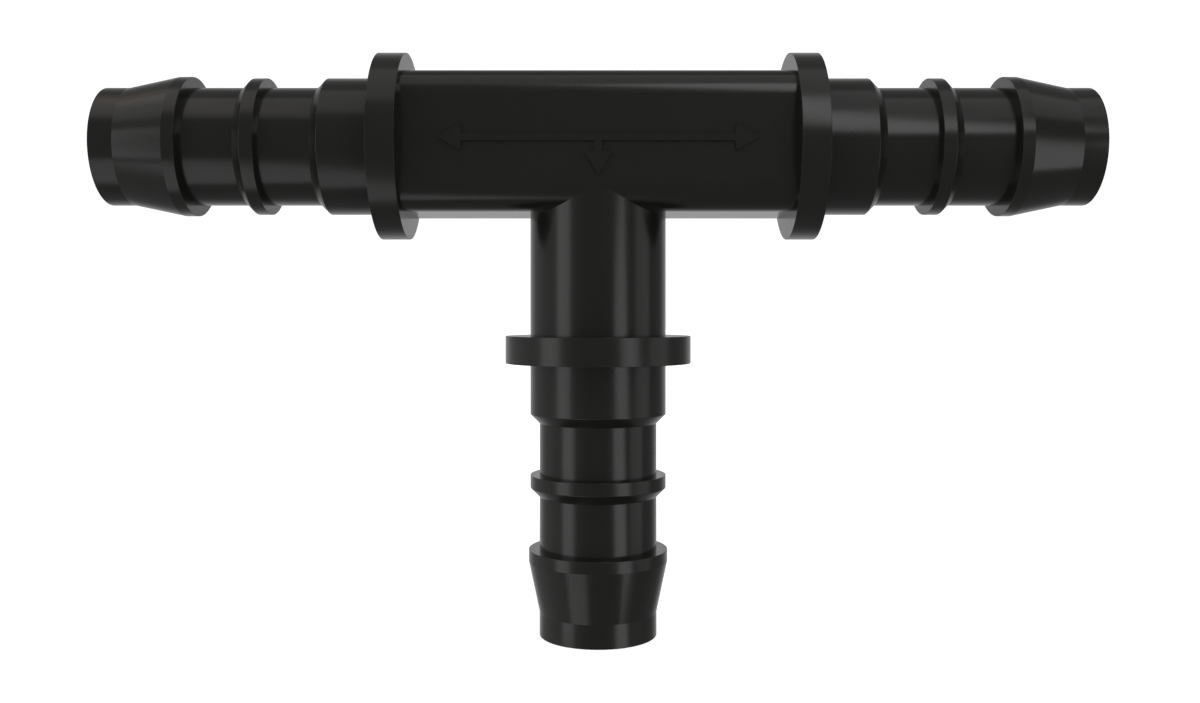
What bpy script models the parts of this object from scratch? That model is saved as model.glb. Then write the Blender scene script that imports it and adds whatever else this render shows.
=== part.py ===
"""Barbed tee connector for 6 mm soft hose, in metres, +Z up.

The run lies along X and the branch points down. The origin is the centre of the branch's end face, so the
run's axis is BRANCH_REACH above it. The front flat of the block faces -Y.

Each arm is built in its own frame, whose +Z points outwards along the arm from the crossing of the axes.
A station is a distance along that frame's +Z. Every hose tail has a spigot that goes through its collar
into a socket in the tee body, and its sleeve seats in a recess of the collar.
"""

import math

import bmesh
import bpy

MM = 0.001

# Reach of the arms, from the crossing of the axes to the end face.
RUN_REACH = 25.0 * MM
BRANCH_REACH = 25.0 * MM

# Hose tail: radii, for hose of 6 mm bore.
WATERWAY_RADIUS = 2.0 * MM
SHANK_RADIUS = 3.0 * MM
SLEEVE_RADIUS = 3.475 * MM
RING_RADIUS = 3.475 * MM
BARB_RADIUS = 3.55 * MM

# Hose tail: stations, from the collar outwards.
SLEEVE_END = 13.7 * MM
RING_BACK = 16.8 * MM
RING_LAND = 0.65 * MM
BARB_BACK = 20.6 * MM
BARB_LAND = 0.6 * MM
BARB_CONE_LENGTH = 2.6 * MM
TIP_CHAMFER = 0.15 * MM

# Collar: the flange that stops the hose.
COLLAR_RADIUS = 4.75 * MM
COLLAR_BACK = 9.7 * MM
COLLAR_THICKNESS = 1.4 * MM
COLLAR_CHAMFER = 0.12 * MM
COLLAR_RECESS_DEPTH = 0.7 * MM

# Tee body: rounded-square block along the run, round neck along the branch.
BLOCK_HALF_WIDTH = 3.5 * MM
BLOCK_CORNER_RADIUS = 1.4 * MM
NECK_RADIUS = 3.475 * MM
SOCKET_RADIUS = 2.9 * MM
SOCKET_DEPTH = 4.0 * MM

# Fit and fineness.
JOINT_GAP = 0.3 * MM
CUTTER_OVERSHOOT = 1.0 * MM
FACETS = 40
CORNER_SEGMENTS = 5
WELD_DISTANCE = 0.01 * MM
SMOOTH_ANGLE = math.radians(30)

# Stations that follow from the sizes above.
COLLAR_FACE = COLLAR_BACK + COLLAR_THICKNESS
COLLAR_RECESS_FLOOR = COLLAR_FACE - COLLAR_RECESS_DEPTH
BODY_END = COLLAR_BACK - JOINT_GAP
SOCKET_FLOOR = BODY_END - SOCKET_DEPTH
SPIGOT_RADIUS = SOCKET_RADIUS - JOINT_GAP

# Direction of each arm: the turn about Y that takes +Z to it, and its reach.
ARMS = {
    "left": (math.radians(-90), RUN_REACH),
    "right": (math.radians(90), RUN_REACH),
    "branch": (math.radians(180), BRANCH_REACH),
}

BLACK_PLASTIC = (0.014, 0.014, 0.013, 1.0)
PLASTIC_ROUGHNESS = 0.28


def clear_scene():
    for obj in list(bpy.data.objects):
        bpy.data.objects.remove(obj, do_unlink=True)


def new_collection(name, hidden=False):
    collection = bpy.data.collections.new(name)
    collection.hide_render = hidden
    bpy.context.scene.collection.children.link(collection)
    return collection


def plastic(name):
    material = bpy.data.materials.new(name)
    material.use_nodes = True
    shader = material.node_tree.nodes["Principled BSDF"]
    shader.inputs["Base Color"].default_value = BLACK_PLASTIC
    shader.inputs["Roughness"].default_value = PLASTIC_ROUGHNESS
    shader.inputs["Metallic"].default_value = 0.0
    return material


def add_object(name, mesh, collection, parent=None):
    obj = bpy.data.objects.new(name, mesh)
    obj.parent = parent
    collection.objects.link(obj)
    return obj


def arm_frame(name, turn, collection):
    """An empty at the crossing of the axes whose +Z points along the arm."""
    frame = add_object(name, None, collection)
    frame.location.z = BRANCH_REACH
    frame.rotation_euler.y = turn
    return frame


def turned(name, profile, collection, parent):
    """A ring turned about the frame's Z from a closed profile of (radius, station), down its outer side."""
    mesh = bpy.data.meshes.new(name)
    count = len(profile)
    points = [(radius, 0, station) for radius, station in profile]
    edges = [(i, (i + 1) % count) for i in range(count)]
    mesh.from_pydata(points, edges, [])
    obj = add_object(name, mesh, collection, parent)
    screw = obj.modifiers.new("Turn", "SCREW")
    screw.steps = FACETS
    screw.render_steps = FACETS
    screw.use_merge_vertices = True
    screw.merge_threshold = WELD_DISTANCE
    return obj


def cut(obj, cutter):
    boolean = obj.modifiers.new("Cut " + cutter.name, "BOOLEAN")
    boolean.operation = "DIFFERENCE"
    boolean.solver = "EXACT"
    boolean.object = cutter


def join(obj, other):
    boolean = obj.modifiers.new("Join " + other.name, "BOOLEAN")
    boolean.operation = "UNION"
    boolean.solver = "EXACT"
    boolean.object = other


def helper(obj):
    """Marks an object as a guide that only a Boolean uses."""
    obj.hide_render = True
    obj.display_type = "WIRE"
    return obj


def finish(obj, material):
    """Makes the modifiers' result the object's own mesh, with round faces smooth and edges sharp."""
    bpy.context.view_layer.update()
    evaluated = obj.evaluated_get(bpy.context.evaluated_depsgraph_get())
    mesh = bpy.data.meshes.new_from_object(evaluated)
    mesh.name = obj.name
    obj.modifiers.clear()
    obj.data = mesh
    mesh.materials.clear()
    mesh.materials.append(material)
    mesh.shade_smooth()
    mesh.set_sharp_from_angle(angle=SMOOTH_ANGLE)


def run_block(collection):
    """The rounded-square block, with its four long edges rounded."""
    mesh = bpy.data.meshes.new("tee_body")
    shape = bmesh.new()
    bmesh.ops.create_cube(shape, size=2)
    size = (BODY_END, BLOCK_HALF_WIDTH, BLOCK_HALF_WIDTH)
    bmesh.ops.scale(shape, vec=size, verts=shape.verts)
    along_run = [e for e in shape.edges if abs(e.verts[0].co.x - e.verts[1].co.x) > BODY_END]
    bmesh.ops.bevel(
        shape,
        geom=along_run,
        offset=BLOCK_CORNER_RADIUS,
        segments=CORNER_SEGMENTS,
        profile=0.5,
        affect="EDGES",
    )
    shape.to_mesh(mesh)
    shape.free()
    block = add_object("tee_body", mesh, collection)
    block.location.z = BRANCH_REACH
    return block


def cylinder(name, radius, low, high, collection, parent):
    """A closed cylinder about the frame's Z between two stations."""
    mesh = bpy.data.meshes.new(name)
    shape = bmesh.new()
    bmesh.ops.create_cone(
        shape,
        cap_ends=True,
        segments=FACETS,
        radius1=radius,
        radius2=radius,
        depth=high - low,
    )
    bmesh.ops.translate(shape, vec=(0, 0, (low + high) / 2), verts=shape.verts)
    shape.to_mesh(mesh)
    shape.free()
    return helper(add_object(name, mesh, collection, parent))


def tee_body(frames, parts, cutters, material):
    """The block and neck as one body, with the T waterway and the three spigot sockets cut out."""
    body = run_block(parts)
    branch = frames["branch"]
    join(body, cylinder("neck", NECK_RADIUS, 0, BODY_END, cutters, branch))
    right = frames["right"]
    outside = BODY_END + CUTTER_OVERSHOOT
    cut(body, cylinder("run_waterway", WATERWAY_RADIUS, -outside, outside, cutters, right))
    cut(body, cylinder("branch_waterway", WATERWAY_RADIUS, 0, outside, cutters, branch))
    for arm, frame in frames.items():
        socket = cylinder(arm + "_socket", SOCKET_RADIUS, SOCKET_FLOOR, outside, cutters, frame)
        cut(body, socket)
    finish(body, material)


def collar(arm, frame, collection, material):
    """The hose stop: a flange whose front recess holds the root of the tail's sleeve."""
    edge = COLLAR_RADIUS - COLLAR_CHAMFER
    recess = SLEEVE_RADIUS + JOINT_GAP
    profile = [
        (recess, COLLAR_FACE),
        (edge, COLLAR_FACE),
        (COLLAR_RADIUS, COLLAR_FACE - COLLAR_CHAMFER),
        (COLLAR_RADIUS, COLLAR_BACK + COLLAR_CHAMFER),
        (edge, COLLAR_BACK),
        (SOCKET_RADIUS, COLLAR_BACK),
        (SOCKET_RADIUS, COLLAR_RECESS_FLOOR),
        (recess, COLLAR_RECESS_FLOOR),
    ]
    finish(turned(arm + "_collar", profile, collection, frame), material)


def hose_tail(arm, frame, reach, collection, material):
    """The tail, from its tip inwards: shank, long-coned barb, ring, sleeve and spigot."""
    barb_land_end = BARB_BACK + BARB_LAND
    ring_land_end = RING_BACK + RING_LAND
    profile = [
        (WATERWAY_RADIUS, reach),
        (SHANK_RADIUS - TIP_CHAMFER, reach),
        (SHANK_RADIUS, reach - TIP_CHAMFER),
        (SHANK_RADIUS, barb_land_end + BARB_CONE_LENGTH),
        (BARB_RADIUS, barb_land_end),
        (BARB_RADIUS, BARB_BACK),
        (SHANK_RADIUS, BARB_BACK),
        (SHANK_RADIUS, ring_land_end + RING_RADIUS - SHANK_RADIUS),
        (RING_RADIUS, ring_land_end),
        (RING_RADIUS, RING_BACK),
        (SHANK_RADIUS, RING_BACK),
        (SHANK_RADIUS, SLEEVE_END + SLEEVE_RADIUS - SHANK_RADIUS),
        (SLEEVE_RADIUS, SLEEVE_END),
        (SLEEVE_RADIUS, COLLAR_RECESS_FLOOR + JOINT_GAP),
        (SPIGOT_RADIUS, COLLAR_RECESS_FLOOR + JOINT_GAP),
        (SPIGOT_RADIUS, SOCKET_FLOOR + JOINT_GAP),
        (WATERWAY_RADIUS, SOCKET_FLOOR + JOINT_GAP),
    ]
    finish(turned(arm + "_hose_tail", profile, collection, frame), material)


def main():
    clear_scene()
    parts = new_collection("barbed_tee_connector")
    cutters = new_collection("cutters", hidden=True)
    frames = {arm: arm_frame(arm + "_arm", turn, parts) for arm, (turn, reach) in ARMS.items()}
    tee_body(frames, parts, cutters, plastic("tee_body_plastic"))
    for arm, (turn, reach) in ARMS.items():
        collar(arm, frames[arm], parts, plastic(arm + "_collar_plastic"))
        hose_tail(arm, frames[arm], reach, parts, plastic(arm + "_hose_tail_plastic"))


main()
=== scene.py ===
"""Looks of the barbed tee connector, in metres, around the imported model.

The tee is one black injection moulding. Each visual piece stands for one CAD node and meets its neighbours
flush, so that the moulding looks whole. A hose tail and a collar are modelled once, pointing along +Z from
the crossing of the axes, and a copy is laid along each arm. A station is a distance along that +Z.
"""

import math

import bmesh
import bpy
from mathutils import Matrix, Quaternion, Vector


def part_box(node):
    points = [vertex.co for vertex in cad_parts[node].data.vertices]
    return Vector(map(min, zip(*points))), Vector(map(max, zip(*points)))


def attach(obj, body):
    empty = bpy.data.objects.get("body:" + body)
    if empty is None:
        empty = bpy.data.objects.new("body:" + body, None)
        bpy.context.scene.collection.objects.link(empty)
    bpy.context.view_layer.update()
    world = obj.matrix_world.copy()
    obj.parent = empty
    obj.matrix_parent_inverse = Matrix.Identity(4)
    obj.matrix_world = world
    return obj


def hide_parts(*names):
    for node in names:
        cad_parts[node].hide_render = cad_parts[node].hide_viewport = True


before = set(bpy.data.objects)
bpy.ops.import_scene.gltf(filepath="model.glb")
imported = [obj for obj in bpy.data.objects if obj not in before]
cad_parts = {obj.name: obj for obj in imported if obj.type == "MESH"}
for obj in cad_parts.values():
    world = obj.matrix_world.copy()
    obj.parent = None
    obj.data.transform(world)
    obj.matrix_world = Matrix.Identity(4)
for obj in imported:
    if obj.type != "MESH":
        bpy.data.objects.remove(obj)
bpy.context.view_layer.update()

MM = 0.001

# Sizes read from the boxes of the parts imported from model.glb.
COLLAR_LOW, COLLAR_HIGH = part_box("right_collar")
TAIL_LOW, TAIL_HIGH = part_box("right_hose_tail")
BODY_LOW, BODY_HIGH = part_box("tee_body")
CROSSING = Vector((0, 0, (COLLAR_LOW.z + COLLAR_HIGH.z) / 2))
REACH = TAIL_HIGH.x
COLLAR_BACK = COLLAR_LOW.x
COLLAR_FACE = COLLAR_HIGH.x
COLLAR_RADIUS = COLLAR_HIGH.y
BARB_RADIUS = TAIL_HIGH.y
BLOCK_HALF_WIDTH = BODY_HIGH.y

# Sizes of the tee that no box gives.
JOINT_GAP = 0.3 * MM
WATERWAY_RADIUS = 2.0 * MM
SHANK_RADIUS = 3.0 * MM
SLEEVE_RADIUS = 3.475 * MM
NECK_RADIUS = SLEEVE_RADIUS
SOCKET_RADIUS = 2.9 * MM
SOCKET_FLOOR = TAIL_LOW.x - JOINT_GAP
SLEEVE_ROOT = COLLAR_FACE - 0.7 * MM
SLEEVE_END = 13.7 * MM
RING_BACK = 16.8 * MM
RING_FRONT = 17.45 * MM
BARB_BACK = 20.6 * MM
BARB_FRONT = 21.2 * MM
BARB_CONE_END = 23.8 * MM
STEP = SLEEVE_RADIUS - SHANK_RADIUS
BLOCK_CORNER_RADIUS = 1.4 * MM

# Raised flow mark on the front flat: a bar along the run with an arrowhead for each arm.
MARK_HEIGHT = 0.15 * MM
MARK_BAR_WIDTH = 0.36 * MM
MARK_REACH = 7.8 * MM
MARK_DROP = 1.85 * MM
ARROW_SHOULDER = 0.08 * MM
ARROW_LENGTH = 1.1 * MM
ARROW_WIDTH = 1.3 * MM

# Fineness of the surface.
RING_POINTS = 144
CORNER_SEGMENTS = 20
NECK_POINTS = 288
EDGE_ROUNDING = 0.02 * MM
EDGE_SEGMENTS = 3
ROUNDED_ABOVE = math.radians(25)
SMOOTH_BELOW = math.radians(38)
FACET_STEP = math.radians(7)
WELD = 0.001 * MM

# Each arm's turn about Y, which takes +Z to it.
ARMS = {"left": math.radians(-90), "right": math.radians(90), "branch": math.radians(180)}


# ---------------------------------------------------------------- modelling

def only(obj):
    """Makes obj the one selected and active object."""
    bpy.ops.object.select_all(action="DESELECT")
    obj.select_set(True)
    bpy.context.view_layer.objects.active = obj
    return obj


def added(name):
    """Names the primitive that was just added and opens it for editing with all of it selected."""
    obj = only(bpy.context.active_object)
    obj.name = name
    obj.data.name = name
    bpy.ops.object.mode_set(mode="EDIT")
    bpy.ops.mesh.select_all(action="SELECT")
    return obj


def start_ring(name, radius, station):
    """Adds the first ring of a turned piece, about Z."""
    bpy.ops.mesh.primitive_circle_add(vertices=RING_POINTS, radius=radius, location=(0, 0, station))
    return added(name)


def pull_ring(old, new):
    """Extrudes the selected ring from one (radius, station) to the next."""
    rise = new[1] - old[1]
    widen = new[0] / old[0]
    bpy.ops.mesh.extrude_region_move(TRANSFORM_OT_translate={"value": (0, 0, rise)})
    bpy.ops.transform.resize(value=(widen, widen, 1), center_override=(0, 0, new[1]))


def turned_piece(name, outline):
    """A closed ring-shaped piece about Z, pulled from ring to ring round its outline and back."""
    obj = start_ring(name, *outline[0])
    for old, new in zip(outline, outline[1:] + outline[:1]):
        pull_ring(old, new)
    bpy.ops.mesh.select_all(action="SELECT")
    bpy.ops.mesh.remove_doubles(threshold=WELD)
    bpy.ops.mesh.normals_make_consistent(inside=False)
    bpy.ops.object.mode_set(mode="OBJECT")
    bpy.ops.object.transform_apply(location=True, rotation=True, scale=True)
    return obj


def choose_edges(mesh, wanted):
    """Selects, in edit mode, the edges for which wanted(edge) holds, and nothing else."""
    bpy.ops.mesh.select_mode(type="EDGE")
    bpy.ops.mesh.select_all(action="DESELECT")
    shape = bmesh.from_edit_mesh(mesh)
    for edge in shape.edges:
        edge.select_set(len(edge.link_faces) == 2 and wanted(edge))
    bmesh.update_edit_mesh(mesh)


def round_edges(obj, wanted):
    """Gives the chosen edges the small radius of a worn mould, and notes the new faces as rims."""
    only(obj)
    bpy.ops.object.mode_set(mode="EDIT")
    choose_edges(obj.data, wanted)
    bpy.ops.mesh.bevel(offset=EDGE_ROUNDING, segments=EDGE_SEGMENTS, profile=0.5, affect="EDGES")
    shape = bmesh.from_edit_mesh(obj.data)
    rim = shape.verts.layers.float.new("rim")
    for face in shape.faces:
        for vertex in face.verts if face.select else ():
            vertex[rim] = 1.0
    bmesh.update_edit_mesh(obj.data)
    bpy.ops.object.mode_set(mode="OBJECT")


def finish_surface(obj, crisp):
    """Smooth round faces, crisp lines on the chosen edges, and flat faces that shade flat."""
    only(obj)
    bpy.ops.object.shade_smooth_by_angle(angle=SMOOTH_BELOW)
    bpy.ops.object.mode_set(mode="EDIT")
    choose_edges(obj.data, crisp)
    bpy.ops.mesh.mark_sharp()
    bpy.ops.object.mode_set(mode="OBJECT")
    # Weighted Normal passes over faces as small as these, so the mesh is a thousand times larger meanwhile.
    obj.data.transform(Matrix.Scale(1 / MM, 4))
    bpy.ops.object.modifier_add(type="WEIGHTED_NORMAL")
    obj.modifiers[-1].keep_sharp = True
    bpy.ops.object.modifier_apply(modifier=obj.modifiers[-1].name)
    obj.data.transform(Matrix.Scale(MM, 4))


def is_ring_edge(edge):
    """Does the edge run round the arm, and not along it?"""
    first, second = edge.verts
    return abs(first.co.z - second.co.z) < WELD


def is_cone_end(edge):
    """One of the two lines at the ends of the barb's cone, which a mould leaves crisp."""
    station = edge.verts[0].co.z
    at_an_end = min(abs(station - BARB_FRONT), abs(station - BARB_CONE_END)) < WELD
    return at_an_end and is_ring_edge(edge) and edge.calc_face_angle() > FACET_STEP


def hose_tail():
    """The tail from its tip inwards: shank, barb, ring, sleeve, spigot, and back through the waterway."""
    outline = [
        (WATERWAY_RADIUS, REACH),
        (SHANK_RADIUS, REACH),
        (SHANK_RADIUS, BARB_CONE_END),
        (BARB_RADIUS, BARB_FRONT),
        (BARB_RADIUS, BARB_BACK),
        (SHANK_RADIUS, BARB_BACK),
        (SHANK_RADIUS, RING_FRONT + STEP),
        (SLEEVE_RADIUS, RING_FRONT),
        (SLEEVE_RADIUS, RING_BACK),
        (SHANK_RADIUS, RING_BACK),
        (SHANK_RADIUS, SLEEVE_END + STEP),
        (SLEEVE_RADIUS, SLEEVE_END),
        (SLEEVE_RADIUS, SLEEVE_ROOT),
        (SOCKET_RADIUS, SLEEVE_ROOT),
        (SOCKET_RADIUS, SOCKET_FLOOR),
        (WATERWAY_RADIUS, SOCKET_FLOOR),
    ]
    tail = turned_piece("hose_tail", outline)

    def outside(edge):
        return edge.is_convex and edge.verts[0].co.z > COLLAR_FACE and edge.calc_face_angle() > ROUNDED_ABOVE

    round_edges(tail, outside)
    finish_surface(tail, is_cone_end)
    return tail


def collar():
    """The flange that stops the hose, with the recess for the sleeve's root."""
    outline = [
        (SLEEVE_RADIUS, COLLAR_FACE),
        (COLLAR_RADIUS, COLLAR_FACE),
        (COLLAR_RADIUS, COLLAR_BACK),
        (SOCKET_RADIUS, COLLAR_BACK),
        (SOCKET_RADIUS, SLEEVE_ROOT),
        (SLEEVE_RADIUS, SLEEVE_ROOT),
    ]
    ring = turned_piece("collar", outline)

    def rim(edge):
        return is_ring_edge(edge) and edge.verts[0].co.xy.length > COLLAR_RADIUS - WELD

    round_edges(ring, rim)
    finish_surface(ring, lambda edge: False)
    return ring


def boolean(obj, tool, operation):
    """Joins or cuts obj with the tool, which is used up."""
    only(obj)
    bpy.ops.object.modifier_add(type="BOOLEAN")
    modifier = obj.modifiers[-1]
    modifier.operation = operation
    modifier.solver = "EXACT"
    modifier.object = tool
    bpy.ops.object.modifier_apply(modifier=modifier.name)
    bpy.data.objects.remove(tool, do_unlink=True)


def rod(radius, start, end, turn, points=RING_POINTS):
    """A round bar along an arm between two stations, to join or cut with."""
    middle = CROSSING + Matrix.Rotation(turn, 3, "Y") @ Vector((0, 0, (start + end) / 2))
    bpy.ops.mesh.primitive_cylinder_add(
        vertices=points,
        radius=radius,
        depth=end - start,
        location=middle,
        rotation=(0, turn, 0),
    )
    return bpy.context.active_object


def tee_body():
    """The rounded-square run block with its round neck, the T waterway and the three sockets."""
    bpy.ops.mesh.primitive_cube_add(
        size=1,
        location=CROSSING,
        scale=(2 * COLLAR_BACK, 2 * BLOCK_HALF_WIDTH, 2 * BLOCK_HALF_WIDTH),
    )
    bpy.ops.object.transform_apply(location=True, rotation=True, scale=True)
    body = added("tee_body_moulding")

    def along_run(edge):
        first, second = edge.verts
        return abs(first.co.x - second.co.x) > COLLAR_BACK

    choose_edges(body.data, along_run)
    bpy.ops.mesh.bevel(
        offset=BLOCK_CORNER_RADIUS,
        segments=CORNER_SEGMENTS,
        profile=0.5,
        affect="EDGES",
    )
    bpy.ops.object.mode_set(mode="OBJECT")
    boolean(body, rod(NECK_RADIUS, 0, COLLAR_BACK, ARMS["branch"], NECK_POINTS), "UNION")
    outside = COLLAR_BACK + MM
    boolean(body, rod(WATERWAY_RADIUS, -outside, outside, ARMS["right"]), "DIFFERENCE")
    boolean(body, rod(WATERWAY_RADIUS, 0, outside, ARMS["branch"]), "DIFFERENCE")
    for turn in ARMS.values():
        boolean(body, rod(SOCKET_RADIUS, SOCKET_FLOOR, outside, turn), "DIFFERENCE")

    boolean(body, flow_mark(), "UNION")
    # The cuts leave a few pairs of vertices on the same spot.
    bpy.ops.object.mode_set(mode="EDIT")
    bpy.ops.mesh.select_all(action="SELECT")
    bpy.ops.mesh.remove_doubles(threshold=WELD)
    bpy.ops.object.mode_set(mode="OBJECT")

    def neck_joins_block(edge):
        first, second = edge.link_faces
        return on_neck(first) != on_neck(second)

    finish_surface(body, neck_joins_block)
    return body


def on_neck(face):
    """Is the face a part of the neck's round wall?"""
    return all(abs(vertex.co.xy.length - NECK_RADIUS) < WELD for vertex in face.verts)


def end_of_bar(mark, along):
    """Selects the edge of the mark's outline that lies furthest along a direction."""
    bpy.ops.mesh.select_mode(type="EDGE")
    bpy.ops.mesh.select_all(action="DESELECT")
    shape = bmesh.from_edit_mesh(mark.data)
    reach = {edge: min(vertex.co.dot(along) for vertex in edge.verts) for edge in shape.edges}
    furthest = max(reach.values())
    for edge in shape.edges:
        edge.select_set(reach[edge] > furthest - WELD)
    bmesh.update_edit_mesh(mark.data)


def pull_end(along, distance, widen=1.0):
    """Extrudes the selected edge along a direction and makes it wider or narrower."""
    bpy.ops.mesh.extrude_region_move(TRANSFORM_OT_translate={"value": along * distance})
    across = (widen, 1, 1) if along.x == 0 else (1, 1, widen)
    bpy.ops.transform.resize(value=across, center_override=CROSSING)


def select_stem_root(mark):
    """Selects the middle piece of the bar's lower edge, which the stem hangs from."""
    bpy.ops.mesh.select_mode(type="EDGE")
    bpy.ops.mesh.select_all(action="DESELECT")
    shape = bmesh.from_edit_mesh(mark.data)
    for edge in shape.edges:
        middle = (edge.verts[0].co + edge.verts[1].co) / 2
        edge.select_set(abs(middle.x) < WELD and middle.z < CROSSING.z - WELD)
    bmesh.update_edit_mesh(mark.data)


def flow_mark():
    """The raised mark of a tee's flow: a bar along the run, a short stem, and an arrowhead for each arm."""
    head_start = MARK_REACH - ARROW_SHOULDER - ARROW_LENGTH
    bpy.ops.mesh.primitive_plane_add(
        size=2 * head_start,
        location=CROSSING + Vector((0, -BLOCK_HALF_WIDTH - MARK_HEIGHT, 0)),
        rotation=(math.radians(90), 0, 0),
    )
    bpy.ops.object.transform_apply(location=True, rotation=True, scale=True)
    mark = added("flow_mark")
    thinner = MARK_BAR_WIDTH / (2 * head_start)
    bpy.ops.transform.resize(value=(1, 1, thinner), center_override=CROSSING)
    for side in (-1, 1):
        bpy.ops.mesh.select_all(action="SELECT")
        bpy.ops.mesh.bisect(plane_co=(side * MARK_BAR_WIDTH / 2, 0, 0), plane_no=(1, 0, 0))
    right, left, down = Vector((1, 0, 0)), Vector((-1, 0, 0)), Vector((0, 0, -1))
    select_stem_root(mark)
    pull_end(down, MARK_DROP - MARK_BAR_WIDTH / 2 - ARROW_SHOULDER - ARROW_LENGTH)
    for along in (right, left, down):
        end_of_bar(mark, along)
        pull_end(along, ARROW_SHOULDER, ARROW_WIDTH / MARK_BAR_WIDTH)
        pull_end(along, ARROW_LENGTH, 0.0)
    bpy.ops.mesh.select_all(action="SELECT")
    bpy.ops.mesh.remove_doubles(threshold=WELD)
    bpy.ops.mesh.extrude_region_move(TRANSFORM_OT_translate={"value": (0, 2 * MARK_HEIGHT, 0)})
    bpy.ops.mesh.select_all(action="SELECT")
    bpy.ops.mesh.normals_make_consistent(inside=False)
    bpy.ops.object.mode_set(mode="OBJECT")
    return mark


def laid_along(pattern, name, turn):
    """A copy of the pattern with its own mesh, laid along an arm."""
    piece = pattern.copy()
    piece.data = pattern.data.copy()
    piece.name = name
    piece.data.name = name
    bpy.context.collection.objects.link(piece)
    piece.data.transform(Matrix.Translation(CROSSING) @ Matrix.Rotation(turn, 4, "Y"))
    return piece


# ---------------------------------------------------------------- shading

class Wire:
    """One value in a node tree. Sums on it add Math nodes."""

    def __init__(self, tree, socket):
        self.tree = tree
        self.socket = socket

    def math(self, operation, *values):
        node = self.tree.nodes.new("ShaderNodeMath")
        node.operation = operation
        for socket, value in zip(node.inputs, values):
            feed(self.tree, socket, value)
        return Wire(self.tree, node.outputs[0])

    def __add__(self, other):
        return self.math("ADD", self, other)

    def __radd__(self, other):
        return self.math("ADD", other, self)

    def __sub__(self, other):
        return self.math("SUBTRACT", self, other)

    def __rsub__(self, other):
        return self.math("SUBTRACT", other, self)

    def __mul__(self, other):
        return self.math("MULTIPLY", self, other)

    def __rmul__(self, other):
        return self.math("MULTIPLY", other, self)

    def __abs__(self):
        return self.math("ABSOLUTE", self)


def feed(tree, socket, value):
    if isinstance(value, Wire):
        tree.links.new(value.socket, socket)
    else:
        socket.default_value = value


class Recipe:
    """Builds one node tree."""

    def __init__(self, tree):
        tree.nodes.clear()
        self.tree = tree

    def node(self, kind, settings, inputs, output=0):
        """Adds a node: its settings first, then its sockets, and gives back one of its outputs."""
        node = self.tree.nodes.new("ShaderNode" + kind)
        for name, value in settings.items():
            setattr(node, name, value)
        for name, value in inputs.items():
            feed(self.tree, node.inputs[name], value)
        return Wire(self.tree, node.outputs[output]) if node.outputs else None

    def noise(self, place, size, detail=2.0, distortion=0.0):
        """Cloudy variation from 0 to 1, with patches about as large as size."""
        inputs = {"Vector": place, "Scale": 1 / size, "Detail": detail, "Distortion": distortion}
        return self.node("TexNoise", {}, inputs)

    def band(self, value, low, high):
        """0 below low, 1 above high, and a smooth rise between them."""
        inputs = {"Value": value, "From Min": low, "From Max": high, "To Min": 0.0, "To Max": 1.0}
        return self.node("MapRange", {"interpolation_type": "SMOOTHSTEP"}, inputs)


DARK_PLASTIC = (0.0125, 0.0125, 0.0110, 1)
PALE_PLASTIC = (0.0170, 0.0170, 0.0150, 1)
PLASTIC_ROUGHNESS = 0.19
DRIFT_SIZE = 2.6 * MM
GRAIN_SIZE = 0.11 * MM
GRAIN_HEIGHT = 0.0003 * MM
PARTING_LINE_REACH = 0.06 * MM


def black_moulded_plastic():
    """Near-black plastic, straight from the mould: slow drifts in gloss, a fine grain and a parting line."""
    material = bpy.data.materials.new("black_moulded_plastic")
    material.use_nodes = True
    recipe = Recipe(material.node_tree)
    place = recipe.node("TexCoord", {}, {}, "Object")
    across = recipe.node("SeparateXYZ", {}, {"Vector": place}, "Y")
    drift = recipe.noise(place, size=DRIFT_SIZE, detail=3.0, distortion=0.5)
    grain = recipe.noise(place, size=GRAIN_SIZE, detail=3.0)
    rim = recipe.node("Attribute", {"attribute_name": "rim"}, {}, "Fac")
    parting_line = 1 - recipe.band(abs(across), 0.0, PARTING_LINE_REACH)

    lighter = 0.5 * drift + 0.25 * grain + 0.1 * rim
    colour = recipe.node(
        "Mix",
        {"data_type": "RGBA"},
        {0: lighter, 6: DARK_PLASTIC, 7: PALE_PLASTIC},
        2,
    )
    roughness = PLASTIC_ROUGHNESS + 0.012 * drift + 0.012 * grain + 0.03 * rim + 0.03 * parting_line
    height = GRAIN_HEIGHT * grain
    bump = recipe.node("Bump", {}, {"Strength": 1.0, "Distance": 1.0, "Height": height})
    surface = recipe.node(
        "BsdfPrincipled",
        {},
        {
            "Base Color": colour,
            "Roughness": roughness,
            "Metallic": 0.0,
            "IOR": 1.5,
            "Normal": bump,
        },
    )
    recipe.node("OutputMaterial", {}, {"Surface": surface})
    return material


# ---------------------------------------------------------------- studio

def direction(azimuth, elevation):
    """The way to a light: azimuth 0 is towards the camera, 90 towards +X."""
    turn = math.radians(azimuth)
    rise = math.radians(elevation)
    return Vector((math.sin(turn) * math.cos(rise), -math.cos(turn) * math.cos(rise), math.sin(rise)))


LIGHT_DISTANCE = 0.6
ROOM_FRONT = 0.18
ROOM_BEHIND = 0.65
ROOM_LEFT = 0.20
BEHIND_STARTS = 0.6
LEFT_STARTS = 0.3
SHOWN_WHITE = 1.1
NEUTRAL = (1.0, 1.0, 1.0)
WARM = (1.3, 0.95, 0.75)


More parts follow.
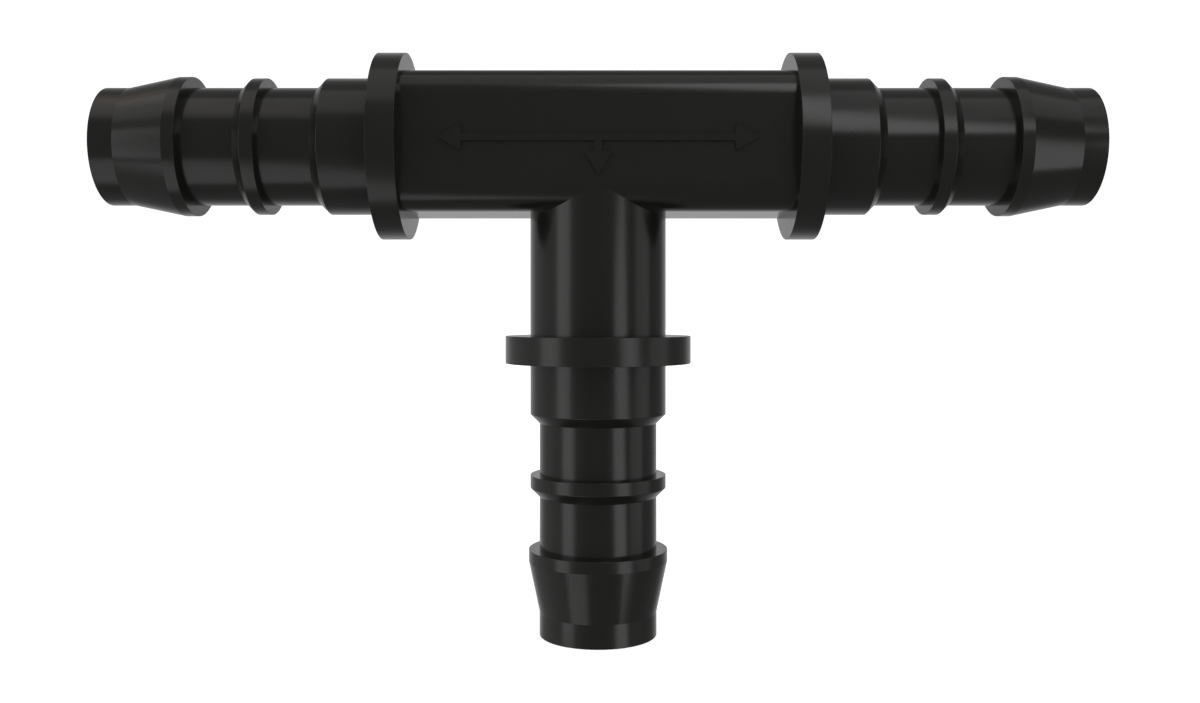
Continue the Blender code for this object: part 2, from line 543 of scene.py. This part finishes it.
def softbox(name, azimuth, elevation, width, height, radiance, tint=NEUTRAL, lean=0):
    """A soft light, its place and size in degrees as seen from the crossing, its top leant towards -X."""
    data = bpy.data.lights.new(name, "AREA")
    data.shape = "RECTANGLE"
    data.size = 2 * LIGHT_DISTANCE * math.tan(math.radians(width) / 2)
    data.size_y = 2 * LIGHT_DISTANCE * math.tan(math.radians(height) / 2)
    data.energy = radiance * math.pi * data.size * data.size_y
    data.color = tint
    light = bpy.data.objects.new(name, data)
    away = direction(azimuth, elevation)
    light.location = CROSSING + away * LIGHT_DISTANCE
    upright = away.to_track_quat("Z", "Y")
    light.rotation_euler = (upright @ Quaternion((0, 0, 1), math.radians(lean))).to_euler()
    light.visible_camera = False
    bpy.context.scene.collection.objects.link(light)


def lights():
    """A key high on the right, one overhead, one warm, and the rest at the sides and low left."""
    softbox("key_softbox", 15, 35, 15, 35, 2.0, lean=15)
    softbox("overhead_softbox", 0, 75, 110, 50, 0.4)
    softbox("right_strip_softbox", 45, -15, 20, 45, 1.3, lean=30)
    softbox("far_right_softbox", 80, 0, 30, 30, 0.45)
    softbox("left_softbox", -60, 0, 25, 40, 1.0)
    softbox("low_left_softbox", -40, -50, 30, 45, 0.7)
    softbox("warm_left_softbox", -80, 60, 50, 20, 0.2, WARM)


def white_surroundings():
    """White where the camera looks. The plastic mirrors a dim room, paler behind and on the left."""
    world = bpy.data.worlds.new("studio")
    world.use_nodes = True
    bpy.context.scene.world = world
    recipe = Recipe(world.node_tree)
    way = recipe.node("TexCoord", {}, {}, "Generated")
    right = recipe.node("SeparateXYZ", {}, {"Vector": way}, "X")
    back = recipe.node("SeparateXYZ", {}, {"Vector": way}, "Y")
    behind = (ROOM_BEHIND - ROOM_FRONT) * recipe.band(back, BEHIND_STARTS, 1.0)
    leftwards = ROOM_LEFT * recipe.band(0 - right, LEFT_STARTS, 1.0)
    room = ROOM_FRONT + behind + leftwards
    seen = recipe.node("LightPath", {}, {}, "Is Camera Ray")
    strength = room + seen * (SHOWN_WHITE - room)
    shade = recipe.node("Background", {}, {"Color": (1, 1, 1, 1), "Strength": strength})
    recipe.node("OutputWorld", {}, {"Surface": shade})


FLOOR_SIZE = 2.0
FLOOR_DROP = 0.02 * MM
FLOOR_COLOUR = (0.8, 0.8, 0.8, 1)
FLOOR_GLOW = 0.82
FLOOR_GLOW_RISE = 0.25
GLOW_RISES_FROM = 20 * MM
GLOW_RISES_TO = 60 * MM


def floor():
    """A plain white floor. Only the camera sees it: it neither mirrors in the tee nor hides the low light."""
    bpy.ops.mesh.primitive_plane_add(size=FLOOR_SIZE, location=(0, 0, -FLOOR_DROP))
    obj = bpy.context.active_object
    obj.name = "studio_floor"
    material = bpy.data.materials.new("white_floor")
    material.use_nodes = True
    recipe = Recipe(material.node_tree)
    place = recipe.node("TexCoord", {}, {}, "Object")
    away = recipe.node("VectorMath", {"operation": "LENGTH"}, {0: place}, "Value")
    matt = recipe.node("BsdfDiffuse", {}, {"Color": FLOOR_COLOUR})
    brightness = FLOOR_GLOW + FLOOR_GLOW_RISE * recipe.band(away, GLOW_RISES_FROM, GLOW_RISES_TO)
    glow = recipe.node("Emission", {}, {"Color": (1, 1, 1, 1), "Strength": brightness})
    both = recipe.node("AddShader", {}, {0: matt, 1: glow})
    recipe.node("OutputMaterial", {}, {"Surface": both})
    obj.data.materials.append(material)
    obj.visible_glossy = False
    obj.visible_diffuse = False
    obj.visible_shadow = False


SENSOR_WIDTH = 36.0
LENS = 34.85
SHIFT_RIGHT = 0.0016
SHIFT_UP = -0.0339
CAMERA_DISTANCE = 59.77 * MM
CAMERA_BELOW = 8.42 * MM
NEAREST_SEEN = 0.001


def camera():
    """Level, in front of the crossing and a little below it, as the tee is shown."""
    data = bpy.data.cameras.new("camera")
    data.sensor_width = SENSOR_WIDTH
    data.lens = LENS
    data.shift_x = SHIFT_RIGHT
    data.shift_y = SHIFT_UP
    data.clip_start = NEAREST_SEEN
    obj = bpy.data.objects.new("camera", data)
    obj.location = CROSSING + Vector((0, -CAMERA_DISTANCE, -CAMERA_BELOW))
    obj.rotation_euler = (math.radians(90), 0, 0)
    bpy.context.scene.collection.objects.link(obj)
    bpy.context.scene.camera = obj


# ---------------------------------------------------------------- the whole tee

def stand_for(piece, node, plastic):
    piece.data.materials.clear()
    piece.data.materials.append(plastic)
    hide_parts(node)
    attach(piece, "root")


def build():
    plastic = black_moulded_plastic()
    stand_for(tee_body(), "tee_body", plastic)
    tail_pattern = hose_tail()
    collar_pattern = collar()
    for arm, turn in ARMS.items():
        stand_for(laid_along(tail_pattern, arm + "_tail_moulding", turn), arm + "_hose_tail", plastic)
        stand_for(laid_along(collar_pattern, arm + "_collar_moulding", turn), arm + "_collar", plastic)
    bpy.data.objects.remove(tail_pattern, do_unlink=True)
    bpy.data.objects.remove(collar_pattern, do_unlink=True)


build()
floor()
white_surroundings()
lights()
camera()
bpy.context.scene.view_settings.view_transform = "Standard"
